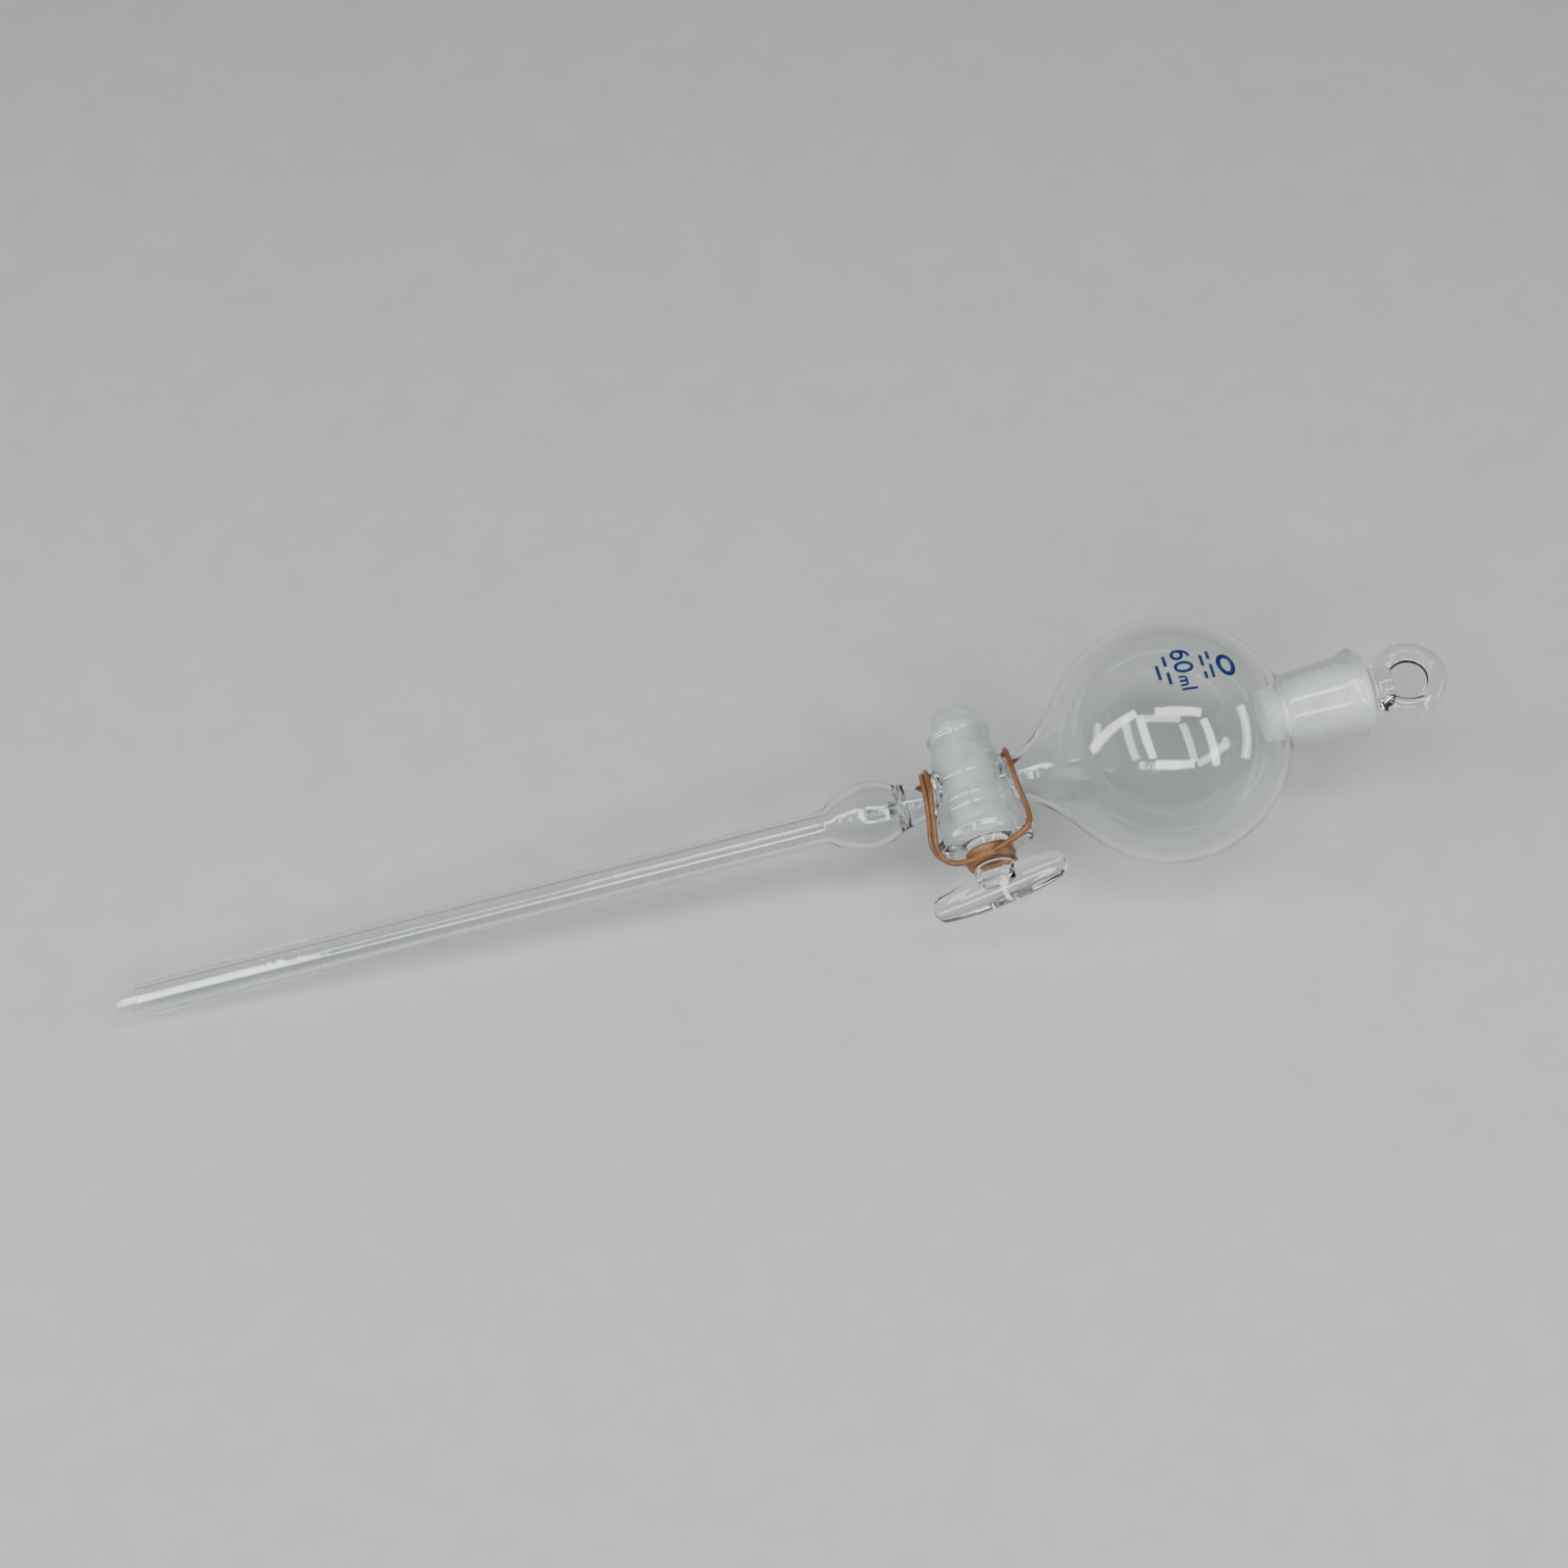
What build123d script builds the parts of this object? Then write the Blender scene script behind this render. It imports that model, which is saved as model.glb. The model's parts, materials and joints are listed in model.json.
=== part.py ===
"""Spherical dropping funnel: blown body, ground stopper, glass stopcock key and latex band.

The funnel lies on a table on its bulb and on the tip of its stem. Millimetres, +Z up, table at Z = 0.
Stations along the funnel are measured from the bulb's centre, positive towards the stopper.
Heights in the stopcock are measured from the crossing of its axis with the funnel's axis, positive
towards the handle. X = 0 is the middle of the funnel's length.
"""
from build123d import *
from math import asin, cos, degrees, radians, sin
import os

os.makedirs("parts", exist_ok=True)

# Bulb and neck
bulb_radius = 27.0
bulb_wall = 1.5
neck_cut = 24.6            # station where bulb and socket are sealed together
neck_foot = 25.8           # station where the socket leaves the sphere
neck_foot_radius = 8.0
joint_top = 44.6           # mouth of the socket
joint_top_radius = 7.25
joint_taper = 0.05         # change of radius per length in a 1:10 cone
ground_gap = 0.03          # radial clearance of a ground joint
bead_start = 40.1
bead_radius = 10.0
plug_end = 20.9            # small end of the stopper, inside the bulb

# Lower flare and arms
flare_tangent = 21.5       # the sphere runs into the flare this far below its centre
flare_radius = 7.25
arm_cut = 30.0             # flare and inlet arm are sealed here
inlet_arm_radius = 4.85
inlet_arm_bore = 3.2
crossing = 44.1            # stopcock axis, below the bulb's centre
outlet_arm_radius = 4.1
outlet_arm_bore = 2.7
port_radius = 1.4

# Drip bulb and stem
ring_seal = 59.5
ring_seal_radius = 5.0
ring_seal_bore = 3.8
drip_bulb_radius = 7.45
drip_bulb_centre = 68.0
drip_bulb_wall = 1.2
drip_bulb_end = 77.5
drip_tip_end = 67.5
drip_tip_radius = 1.7
drip_tip_bore = 0.9
stem_radius = 3.75
stem_bore = 2.5
stem_long_tip = 236.1
stem_short_tip = 229.2
tip_contact = 231.9        # the underside of the bevel touches the table here
long_tip_angle = 20.0      # the bevel's long side, turned past the handle's direction

# Stopcock
barrel_small_end = -14.6
barrel_mouth = 14.3
mouth_radius = 9.0
waist_low = (-5.2, 7.95)    # the arms join the barrel between these two heights
waist_high = (5.2, 9.15)
rim_start = (10.4, 10.2)
rim_crown = (12.6, 10.7)
key_taper = 0.05
key_radius_at_crossing = 5.6
key_small_end = -18.6
key_large_end = 11.8
key_bore = 1.25
shank_radius = 4.7
groove_radius = 4.2
groove_low = 14.9
groove_high = 18.9
handle_centre = 23.8
handle_length = 32.0
handle_height = 7.6
handle_tip_height = 4.2
handle_thickness = 5.6
handle_fillet = 1.2
handle_drop = 4.0          # the handle points this many degrees below level
key_turn = 21.0            # the key is turned this far from fully open

# Stopper
stopper_shank_radius = 4.25
disc_centre = 53.9
disc_radius = 8.7
disc_thickness = 5.4
dish_radius = 5.1
dish_depth = 1.7

# Rubber band
band_radius = 0.75
band_collar_radius = 5.9
band_gap = 0.15

# The funnel's tilt comes from its two contacts with the table.
tilt = asin((bulb_radius - stem_radius) / tip_contact)
axis_dir = Vector(cos(tilt), 0, sin(tilt))
upright = Vector(-sin(tilt), 0, cos(tilt))
level = Vector(0, -1, 0)
handle_dir = level * cos(radians(handle_drop)) - upright * sin(radians(handle_drop))
side_dir = handle_dir.cross(axis_dir)
middle = (stem_long_tip - disc_centre - disc_radius) / 2 * cos(tilt)
bulb_centre = Vector(middle, 0, bulb_radius)


def station(distance):
    """Point on the funnel's axis at a distance from the bulb's centre."""
    return bulb_centre + axis_dir * distance


lathe = Plane(origin=bulb_centre, x_dir=axis_dir, z_dir=level)
main_axis = Axis(bulb_centre, axis_dir)
valve_centre = station(-crossing)
valve_axis = Axis(valve_centre, handle_dir)
valve_lathe = Plane(origin=valve_centre, x_dir=handle_dir, z_dir=side_dir)
valve_cross = Plane(origin=valve_centre, x_dir=side_dir, z_dir=axis_dir)
open_dir = axis_dir.rotate(valve_axis, key_turn)
wing_plane = Plane(origin=valve_centre, x_dir=open_dir, z_dir=open_dir.cross(handle_dir))
key_cross = Plane(origin=valve_centre, x_dir=handle_dir, z_dir=open_dir)


def joint_radius(distance):
    """Radius of the socket's ground cone at a station."""
    return joint_top_radius - joint_taper * (joint_top - distance)


def key_radius(height):
    """Radius of the key's ground cone at a height in the stopcock."""
    return key_radius_at_crossing + key_taper * height


# Bulb: a blown sphere whose lower side runs through a concave flare into the arm.
bore_radius = bulb_radius - bulb_wall
flare_start = Vector(-flare_tangent, (bulb_radius**2 - flare_tangent**2) ** 0.5)
flare_slope = Vector(-flare_start.Y, -flare_tangent)
bore_scale = bore_radius / bulb_radius
with BuildPart() as bulb:
    with BuildSketch(lathe):
        with BuildLine():
            outer_neck = (neck_cut, (bulb_radius**2 - neck_cut**2) ** 0.5)
            inner_neck = (neck_cut, (bore_radius**2 - neck_cut**2) ** 0.5)
            inner_flare = flare_start * bore_scale
            ThreePointArc(outer_neck, (0, bulb_radius), tuple(flare_start)[:2])
            Spline(
                tuple(flare_start)[:2],
                (-24.9, 12.0),
                (-28.06, 8.75),
                (-arm_cut, flare_radius),
                tangents=[tuple(flare_slope)[:2], (-1, -0.68)],
            )
            Line((-arm_cut, flare_radius), (-arm_cut, flare_radius - bulb_wall))
            Spline(
                (-arm_cut, flare_radius - bulb_wall),
                (-27.1, 7.6),
                (-23.8, 11.0),
                tuple(inner_flare)[:2],
                tangents=[(1, 0.68), tuple(flare_slope * -1)[:2]],
            )
            ThreePointArc(tuple(inner_flare)[:2], (0, bore_radius), inner_neck)
            Line(inner_neck, outer_neck)
        make_face()
    revolve(axis=main_axis)
bulb.part.label = "bulb"
export_step(bulb.part, "parts/bulb.step")


# Neck socket: a tapered tube with a rounded bead round its mouth and a ground 1:10 bore.
with BuildPart() as neck_socket:
    with BuildSketch(lathe):
        with BuildLine():
            foot = (neck_foot + 0.9, neck_foot_radius)
            bead_mid = ((bead_start + joint_top) / 2, bead_radius)
            Line((neck_cut, joint_radius(neck_cut) + ground_gap), outer_neck)
            Spline(outer_neck, foot, tangents=[(1, -2.2), (1, 0.08)])
            Line(foot, (bead_start, 9.1))
            Spline((bead_start, 9.1), bead_mid, (joint_top, 8.6), tangents=[(1, 0.9), (-0.1, -1)])
            Line((joint_top, 8.6), (joint_top, joint_top_radius + ground_gap))
            Line(
                (joint_top, joint_top_radius + ground_gap),
                (neck_cut, joint_radius(neck_cut) + ground_gap),
            )
        make_face()
    revolve(axis=main_axis)
neck_socket.part.label = "neck_socket"
export_step(neck_socket.part, "parts/neck_socket.step")


waist_slope = (waist_high[0] - waist_low[0], waist_high[1] - waist_low[1])


def barrel_outline():
    """Draw the barrel's outside, from the small-end bead to the wide rounded rim."""
    Spline(
        (barrel_small_end, 6.0),
        (-12.9, 6.95),
        (-10.3, 6.75),
        (-7.7, 7.2),
        waist_low,
        tangents=[(0, 1), waist_slope],
    )
    Line(waist_low, waist_high)
    Spline(
        waist_high,
        (8.2, 9.45),
        rim_start,
        tangents=[waist_slope, (1, 0.35)],
    )
    ThreePointArc(rim_start, rim_crown, (barrel_mouth, mouth_radius))


# Solid of the barrel's outside, used to shape the barrel and to cut the arms to it.
with BuildPart() as barrel_envelope:
    with BuildSketch(valve_lathe):
        with BuildLine():
            Line((barrel_small_end, 0), (barrel_small_end, 6.0))
            barrel_outline()
            Line((barrel_mouth, mouth_radius), (barrel_mouth, 0))
            Line((barrel_mouth, 0), (barrel_small_end, 0))
        make_face()
    revolve(axis=valve_axis)

# Stopcock barrel: the ground bore runs through, and two ports cross it on the funnel's axis.
with BuildPart() as stopcock_barrel:
    add(barrel_envelope.part)
    with BuildSketch(valve_lathe):
        with BuildLine():
            low = barrel_small_end - 1
            high = key_large_end + 0.4
            low_radius = key_radius(low) + ground_gap
            high_radius = key_radius(high) + ground_gap
            Line((low, 0), (low, low_radius))
            Line((low, low_radius), (high, high_radius))
            Line((high, high_radius), (barrel_mouth + 1, high_radius + 1.9))
            Line((barrel_mouth + 1, high_radius + 1.9), (barrel_mouth + 1, 0))
            Line((barrel_mouth + 1, 0), (low, 0))
        make_face()
    revolve(axis=valve_axis, mode=Mode.SUBTRACT)
    with BuildSketch(valve_cross):
        Circle(port_radius)
    extrude(amount=bead_radius * 2, both=True, mode=Mode.SUBTRACT)
stopcock_barrel.part.label = "stopcock_barrel"
export_step(stopcock_barrel.part, "parts/stopcock_barrel.step")

# Inlet arm: short tube from the flare to the barrel.
with BuildPart() as inlet_arm:
    with BuildSketch(lathe):
        with BuildLine():
            arm_end = -crossing + 4
            Spline(
                (-arm_cut, flare_radius),
                (-33.0, 5.4),
                (-35.2, inlet_arm_radius),
                tangents=[(-1, -0.68), (-1, 0)],
            )
            Line((-35.2, inlet_arm_radius), (arm_end, inlet_arm_radius))
            Line((arm_end, inlet_arm_radius), (arm_end, inlet_arm_bore))
            Line((arm_end, inlet_arm_bore), (-35.2, inlet_arm_bore))
            Spline(
                (-35.2, inlet_arm_bore),
                (-33.0, 3.75),
                (-arm_cut, flare_radius - bulb_wall),
                tangents=[(1, 0), (1, 0.68)],
            )
            Line((-arm_cut, flare_radius - bulb_wall), (-arm_cut, flare_radius))
        make_face()
    revolve(axis=main_axis)
    add(barrel_envelope.part, mode=Mode.SUBTRACT)
inlet_arm.part.label = "inlet_arm"
export_step(inlet_arm.part, "parts/inlet_arm.step")

# Outlet arm: tube from the barrel that widens to the ring seal.
with BuildPart() as outlet_arm:
    with BuildSketch(lathe):
        with BuildLine():
            arm_end = -crossing - 4
            arm_knee = -crossing - 10
            Line((arm_end, outlet_arm_radius), (arm_knee, outlet_arm_radius))
            Spline(
                (arm_knee, outlet_arm_radius),
                (-ring_seal, ring_seal_radius),
                tangents=[(-1, 0), (-1, 0.3)],
            )
            Line((-ring_seal, ring_seal_radius), (-ring_seal, ring_seal_bore))
            Spline(
                (-ring_seal, ring_seal_bore),
                (arm_knee, outlet_arm_bore),
                tangents=[(1, -0.3), (1, 0)],
            )
            Line((arm_knee, outlet_arm_bore), (arm_end, outlet_arm_bore))
            Line((arm_end, outlet_arm_bore), (arm_end, outlet_arm_radius))
        make_face()
    revolve(axis=main_axis)
    add(barrel_envelope.part, mode=Mode.SUBTRACT)
outlet_arm.part.label = "outlet_arm"
export_step(outlet_arm.part, "parts/outlet_arm.step")

# Drip tip: a nozzle whose flared end closes the ring seal.
with BuildPart() as drip_tip:
    with BuildSketch(lathe):
        with BuildLine():
            seal_back = -ring_seal - 1.3
            Line((-ring_seal, drip_tip_bore), (-ring_seal, ring_seal_bore))
            Line((-ring_seal, ring_seal_bore), (seal_back, ring_seal_bore))
            Spline(
                (seal_back, ring_seal_bore),
                (-ring_seal - 2.8, drip_tip_radius),
                tangents=[(-0.3, -1), (-1, -0.05)],
            )
            Line((-ring_seal - 2.8, drip_tip_radius), (-drip_tip_end, drip_tip_radius - 0.25))
            Line((-drip_tip_end, drip_tip_radius - 0.25), (-drip_tip_end, drip_tip_bore))
            Line((-drip_tip_end, drip_tip_bore), (-ring_seal, drip_tip_bore))
        make_face()
    revolve(axis=main_axis)
drip_tip.part.label = "drip_tip"
export_step(drip_tip.part, "parts/drip_tip.step")

# Drip bulb: a small blown bulb from the ring seal to the stem.
with BuildPart() as drip_bulb:
    with BuildSketch(lathe):
        with BuildLine():
            bulb_bore = drip_bulb_radius - drip_bulb_wall
            Spline(
                (-ring_seal, ring_seal_radius),
                (-drip_bulb_centre, drip_bulb_radius),
                (-74.6, 5.5),
                (-drip_bulb_end, stem_radius),
                tangents=[(-1, 0.4), (-1, -0.15)],
            )
            Line((-drip_bulb_end, stem_radius), (-drip_bulb_end, stem_bore))
            Spline(
                (-drip_bulb_end, stem_bore),
                (-74.2, 4.2),
                (-drip_bulb_centre, bulb_bore),
                (-63.0, 5.35),
                (-ring_seal - 1.3, ring_seal_bore),
                tangents=[(1, 0.2), (0.9, -0.9)],
            )
            Line((-ring_seal - 1.3, ring_seal_bore), (-ring_seal, ring_seal_bore))
            Line((-ring_seal, ring_seal_bore), (-ring_seal, ring_seal_radius))
        make_face()
    revolve(axis=main_axis)
drip_bulb.part.label = "drip_bulb"
export_step(drip_bulb.part, "parts/drip_bulb.step")

# Stem tube: plain tubing with its tip ground to a long bevel.
long_side = handle_dir.rotate(main_axis, -long_tip_angle)
bevel_rise = stem_long_tip - stem_short_tip
bevel_centre = station(-(stem_long_tip + stem_short_tip) / 2)
bevel_normal = axis_dir * (-2 * stem_radius) - long_side * bevel_rise
with BuildPart() as stem_tube:
    with BuildSketch(Plane(origin=station(-drip_bulb_end), x_dir=level, z_dir=axis_dir * -1)):
        Circle(stem_radius)
        Circle(stem_bore, mode=Mode.SUBTRACT)
    extrude(amount=stem_long_tip - drip_bulb_end)
    split(bisect_by=Plane(origin=bevel_centre, z_dir=bevel_normal), keep=Keep.BOTTOM)
stem_tube.part.label = "stem_tube"
export_step(stem_tube.part, "parts/stem_tube.step")

# Stopper plug: solid ground cone whose small end stands inside the bulb.
with BuildPart() as stopper_plug:
    with BuildSketch(lathe):
        with BuildLine():
            Line((plug_end, 0), (plug_end, joint_radius(plug_end)))
            Line((plug_end, joint_radius(plug_end)), (joint_top, joint_top_radius))
            Line((joint_top, joint_top_radius), (joint_top, 0))
            Line((joint_top, 0), (plug_end, 0))
        make_face()
    revolve(axis=main_axis)
    fillet(stopper_plug.edges().sort_by(main_axis)[0], radius=1.1)
    fillet(stopper_plug.edges().sort_by(main_axis)[-1], radius=0.4)
stopper_plug.part.label = "stopper_plug"
export_step(stopper_plug.part, "parts/stopper_plug.step")

# Stopper disc: a thick pressed disc, dished on both sides, with a rounded rim.
disc_plane = Plane(origin=station(disc_centre), x_dir=axis_dir, z_dir=side_dir)
with BuildPart() as stopper_disc:
    with BuildSketch(disc_plane):
        Circle(disc_radius)
    extrude(amount=disc_thickness / 2, both=True)
    fillet(stopper_disc.edges(), radius=2.3)
    for face_side in (1, -1):
        with BuildSketch(disc_plane.offset(face_side * disc_thickness / 2)):
            Circle(dish_radius)
        extrude(amount=-face_side * dish_depth, taper=18, mode=Mode.SUBTRACT)
stopper_disc.part.label = "stopper_disc"
export_step(stopper_disc.part, "parts/stopper_disc.step")

# Stopper shank: clear neck between the ground plug and the disc.
with BuildPart() as stopper_shank:
    with BuildSketch(Plane(origin=station(joint_top), x_dir=side_dir, z_dir=axis_dir)):
        Circle(stopper_shank_radius)
    extrude(amount=disc_centre - disc_radius + 1.6 - joint_top)
    add(stopper_disc.part, mode=Mode.SUBTRACT)
stopper_shank.part.label = "stopper_shank"
export_step(stopper_shank.part, "parts/stopper_shank.step")

# Key plug: ground cone with the cross bore.
with BuildPart() as key_plug:
    with BuildSketch(valve_lathe):
        with BuildLine():
            Line((key_small_end, 0), (key_small_end, key_radius(key_small_end)))
            Line(
                (key_small_end, key_radius(key_small_end)),
                (key_large_end, key_radius(key_large_end)),
            )
            Line((key_large_end, key_radius(key_large_end)), (key_large_end, 0))
            Line((key_large_end, 0), (key_small_end, 0))
        make_face()
    revolve(axis=valve_axis)
    fillet(key_plug.edges().sort_by(valve_axis)[0], radius=0.8)
    with BuildSketch(key_cross):
        Circle(key_bore)
    extrude(amount=bead_radius, both=True, mode=Mode.SUBTRACT)
key_plug.part.label = "key_plug"
export_step(key_plug.part, "parts/key_plug.step")

# Key handle: a boat-shaped bar, thick in the middle, rounded at both ends and all round.
with BuildPart() as key_handle:
    with BuildSketch(wing_plane):
        with BuildLine():
            half = handle_length / 2
            end_rise = handle_tip_height / 2
            low_end = handle_centre - end_rise
            high_end = handle_centre + end_rise
            near_side = handle_centre - handle_height / 2
            far_side = handle_centre + handle_height / 2
            ThreePointArc((-half + 1.6, low_end), (0, near_side), (half - 1.6, low_end))
            ThreePointArc((half - 1.6, low_end), (half, handle_centre), (half - 1.6, high_end))
            ThreePointArc((half - 1.6, high_end), (0, far_side), (-half + 1.6, high_end))
            ThreePointArc((-half + 1.6, high_end), (-half, handle_centre), (-half + 1.6, low_end))
        make_face()
    extrude(amount=handle_thickness / 2, both=True)
    fillet(key_handle.edges(), radius=handle_fillet)
key_handle.part.label = "key_handle"
export_step(key_handle.part, "parts/key_handle.step")

# Key shank: clear neck with a shallow groove that the band sits in.
with BuildPart() as key_shank:
    with BuildSketch(valve_lathe):
        with BuildLine():
            shank_top = handle_centre - 1.0
            Line((key_large_end, 0), (key_large_end, key_radius(key_large_end) - 0.5))
            Spline(
                (key_large_end, key_radius(key_large_end) - 0.5),
                (groove_low, groove_radius),
                tangents=[(1, -0.2), (1, 0)],
            )
            Line((groove_low, groove_radius), (groove_high, groove_radius))
            Line((groove_high, groove_radius), (groove_high + 0.7, shank_radius))
            Line((groove_high + 0.7, shank_radius), (shank_top, shank_radius))
            Line((shank_top, shank_radius), (shank_top, 0))
            Line((shank_top, 0), (key_large_end, 0))
        make_face()
    revolve(axis=valve_axis)
    add(key_handle.part, mode=Mode.SUBTRACT)
key_shank.part.label = "key_shank"
export_step(key_shank.part, "parts/key_shank.step")

# Rubber band: turns round the key's groove, then a strand down each side, over both arms and
# round behind the barrel. Points are (along the funnel, to the upper side, towards the handle).
band_route = [
    (-4.6, 2.4, 17.4),
    (-9.4, 3.1, 17.0),
    (-11.0, 4.9, 12.9),
    (-9.9, 5.6, 4.0),
    (-9.3, 5.4, -1.5),
    (-9.1, 2.0, -5.9),
    (-8.4, -3.8, -7.0),
    (-3.4, -8.4, -7.2),
    (3.4, -8.4, -7.2),
    (8.4, -3.8, -7.0),
    (8.9, 2.4, -6.2),
    (8.9, 6.2, -1.5),
    (9.4, 6.6, 5.0),
    (9.6, 7.2, 12.4),
    (7.8, 7.2, 15.6),
    (0.0, 5.2, 17.4),
]


def valve_point(point):
    """Place a point of the stopcock's own frame in the model."""
    return valve_centre + axis_dir * point[0] + side_dir * point[1] + handle_dir * point[2]


with BuildPart() as rubber_band:
    with BuildLine():
        route = FilletPolyline(*[valve_point(point) for point in band_route], radius=1.2)
    with BuildSketch(Plane(origin=route @ 0, z_dir=route % 0)):
        Circle(band_radius)
    sweep()
    with BuildSketch(valve_lathe):
        with Locations(((groove_low + groove_high) / 2, (groove_radius + band_collar_radius) / 2)):
            collar_depth = band_collar_radius - groove_radius - band_gap
            RectangleRounded(groove_high - groove_low - 2 * band_gap, collar_depth, radius=0.6)
    revolve(axis=valve_axis)
    with BuildSketch(Plane(origin=valve_centre, x_dir=axis_dir, z_dir=handle_dir)):
        Circle(groove_radius + band_gap)
    extrude(amount=handle_centre, mode=Mode.SUBTRACT)
rubber_band.part.label = "rubber_band"
export_step(rubber_band.part, "parts/rubber_band.step")

print("tilt of the funnel's axis:", round(degrees(tilt), 3))
print("crossing of the stopcock:", valve_centre)
print("funnel axis:", axis_dir, "handle direction:", handle_dir, "side:", side_dir)
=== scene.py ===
"""Looks of a spherical dropping funnel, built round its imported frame.

The funnel is one seamless piece of lampworked glass, so its outside and its cavities are turned as
separate closed forms and cut from each other. The stopper, the stopcock key, the latex band and the
printed mark are their own pieces. Sizes in the dataclasses are millimetres, measured along the
funnel's axis from the bulb's centre, or along the stopcock's axis from the crossing.
"""
import json
import logging
import math
from dataclasses import dataclass
from enum import Enum
from typing import Callable, Optional, Sequence, Union

import bmesh
import bpy
import numpy as np
from mathutils import Matrix, Vector


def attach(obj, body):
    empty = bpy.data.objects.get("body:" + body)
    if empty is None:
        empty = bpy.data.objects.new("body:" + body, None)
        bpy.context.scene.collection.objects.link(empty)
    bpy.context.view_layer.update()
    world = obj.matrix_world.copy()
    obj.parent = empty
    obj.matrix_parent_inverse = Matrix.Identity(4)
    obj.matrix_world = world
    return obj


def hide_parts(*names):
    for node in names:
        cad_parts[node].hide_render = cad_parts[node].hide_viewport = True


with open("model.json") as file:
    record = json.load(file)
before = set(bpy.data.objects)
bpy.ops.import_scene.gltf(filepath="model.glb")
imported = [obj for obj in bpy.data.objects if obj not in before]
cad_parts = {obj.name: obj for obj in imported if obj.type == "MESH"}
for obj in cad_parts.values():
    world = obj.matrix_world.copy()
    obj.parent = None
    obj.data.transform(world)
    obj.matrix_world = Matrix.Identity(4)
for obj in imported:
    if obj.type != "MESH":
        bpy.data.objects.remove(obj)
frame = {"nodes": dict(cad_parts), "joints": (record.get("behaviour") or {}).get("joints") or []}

LOG = logging.getLogger("dropping_funnel")
MM = 0.001
CROSSING = 44.1  # the stopcock's axis lies this far below the bulb's centre

Point = tuple[float, float]
Spot = tuple[float, float, float]


class Body(Enum):
    """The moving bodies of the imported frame."""

    FUNNEL = "funnel"
    STOPPER = "stopper"
    KEY = "key"


class Slot(Enum):
    """The record's material slots."""

    CLEAR = "clear_glass"
    GROUND = "ground_glass"
    LATEX = "latex"


class Cut(Enum):
    """How two closed forms are combined."""

    JOIN = "UNION"
    REMOVE = "DIFFERENCE"


# ----- frames and meshes


@dataclass(frozen=True)
class Datum:
    """A right-handed frame that local millimetres are placed in."""

    origin: Vector
    x: Vector
    y: Vector
    z: Vector

    def place(self, points: np.ndarray) -> np.ndarray:
        """Turn local millimetres into metres in the model's frame.

        Args:
            points: rows of local x, y, z.

        Returns:
            Rows of x, y, z in metres.
        """
        basis = np.array([self.x, self.y, self.z], float)
        return np.array(self.origin, float) + MM * (points @ basis)

    def spot(self, x: float, y: float, z: float) -> Vector:
        """Place one local point, in millimetres."""
        return self.origin + MM * (x * self.x + y * self.y + z * self.z)


def read_datums() -> tuple[Datum, Datum]:
    """Read the funnel's and the stopcock's frames from the record's joints.

    Returns:
        The funnel's frame, with z towards the stopper and x towards the handle, and the
        stopcock's frame, with z towards the handle and x towards the stopper.
    """
    joints = {joint["name"]: joint for joint in frame["joints"]}
    axis = Vector(joints["stopper_pull"]["axis"]).normalized()
    handle = Vector(joints["key_turn"]["axis"]).normalized()
    handle = (handle - axis * handle.dot(axis)).normalized()
    valve = Vector(joints["key_turn"]["pos_m"])
    bulb = valve + axis * CROSSING * MM
    return (
        Datum(bulb, handle, axis.cross(handle), axis),
        Datum(valve, axis, handle.cross(axis), handle),
    )


class Profile:
    """A half section, as heights along an axis and radii round it."""

    def __init__(self, height: float, radius: float) -> None:
        """Start the section at one point."""
        self.points: list[Point] = [(height, radius)]

    def line(self, height: float, radius: float, steps: int = 1) -> "Profile":
        """Run straight to a point.

        Args:
            height: height of the end.
            radius: radius of the end.
            steps: number of pieces that the run is divided into.

        Returns:
            The profile itself.
        """
        h0, r0 = self.points[-1]
        for k in range(1, steps + 1):
            t = k / steps
            self.points.append((h0 + (height - h0) * t, r0 + (radius - r0) * t))
        return self

    def arc(self, radius: float, end_height: float, step: float = 1.5) -> "Profile":
        """Follow a circle about the height zero on the axis.

        Args:
            radius: radius of the circle.
            end_height: height where the arc stops.
            step: degrees between points.

        Returns:
            The profile itself.
        """
        first = math.acos(self.points[-1][0] / radius)
        last = math.acos(end_height / radius)
        count = max(2, int(abs(math.degrees(last - first)) / step))
        for k in range(1, count + 1):
            angle = first + (last - first) * k / count
            self.points.append((radius * math.cos(angle), radius * math.sin(angle)))
        return self

    def curve(
        self,
        *points: Point,
        start: Optional[Point] = None,
        end: Optional[Point] = None,
        step: float = 0.3,
    ) -> "Profile":
        """Run smoothly through points.

        Args:
            points: the points after the last one of the profile.
            start: direction of travel at the beginning.
            end: direction of travel at the end.
            step: distance between the points that are added.

        Returns:
            The profile itself.
        """
        knots = np.array([self.points[-1], *points], float)
        self.points.extend(map(tuple, smooth_path(knots, step, start, end)[1:]))
        return self

    def array(self) -> np.ndarray:
        """Give the section as rows of height and radius."""
        return np.array(self.points, float)


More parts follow.
